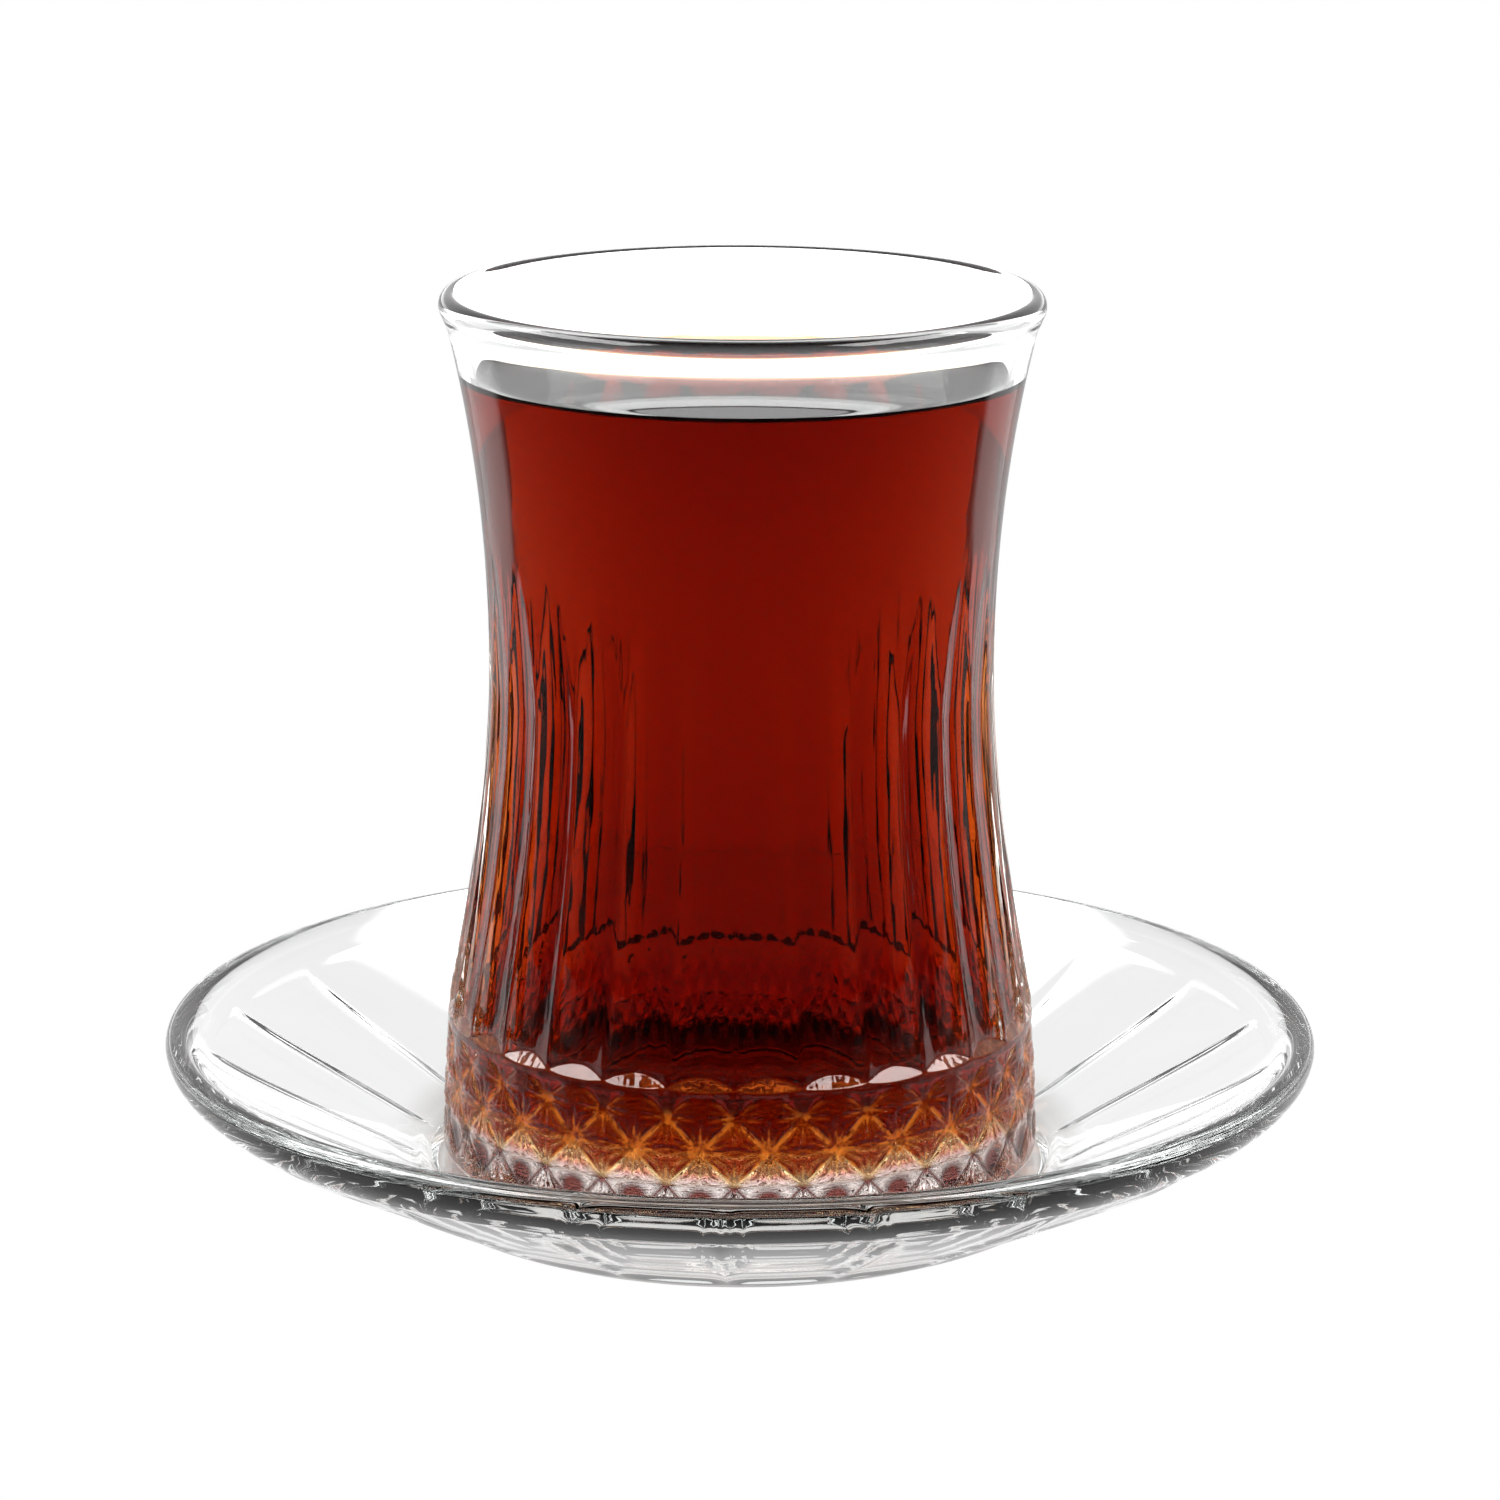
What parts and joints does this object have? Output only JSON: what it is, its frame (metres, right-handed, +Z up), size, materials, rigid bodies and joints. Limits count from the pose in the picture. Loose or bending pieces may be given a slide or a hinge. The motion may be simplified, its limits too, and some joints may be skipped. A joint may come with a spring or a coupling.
{
  "type": "tea glass with saucer",
  "caption": "Waisted tea glass with pressed flutes above a band of star cuts, filled with dark tea, standing on a shallow ribbed glass saucer.",
  "frame": {"origin": "on the common axis of glass and saucer, in the plane that the saucer's foot ring stands on", "axes": "+Z up along the axis; the pictured side faces -Y"},
  "size_m": [0.1166, 0.1166, 0.0929],
  "materials": {
    "clear_glass": "clear, colourless, polished, with pressed flutes and star cuts",
    "tea": "clear dark red-brown liquid, amber where it is thin",
    "saucer_glass": "clear, colourless, polished, ribbed underneath"
  },
  "bodies": {
    "root": {"glass": "clear_glass", "tea": "tea", "saucer": "saucer_glass"}
  },
  "joints": []
}
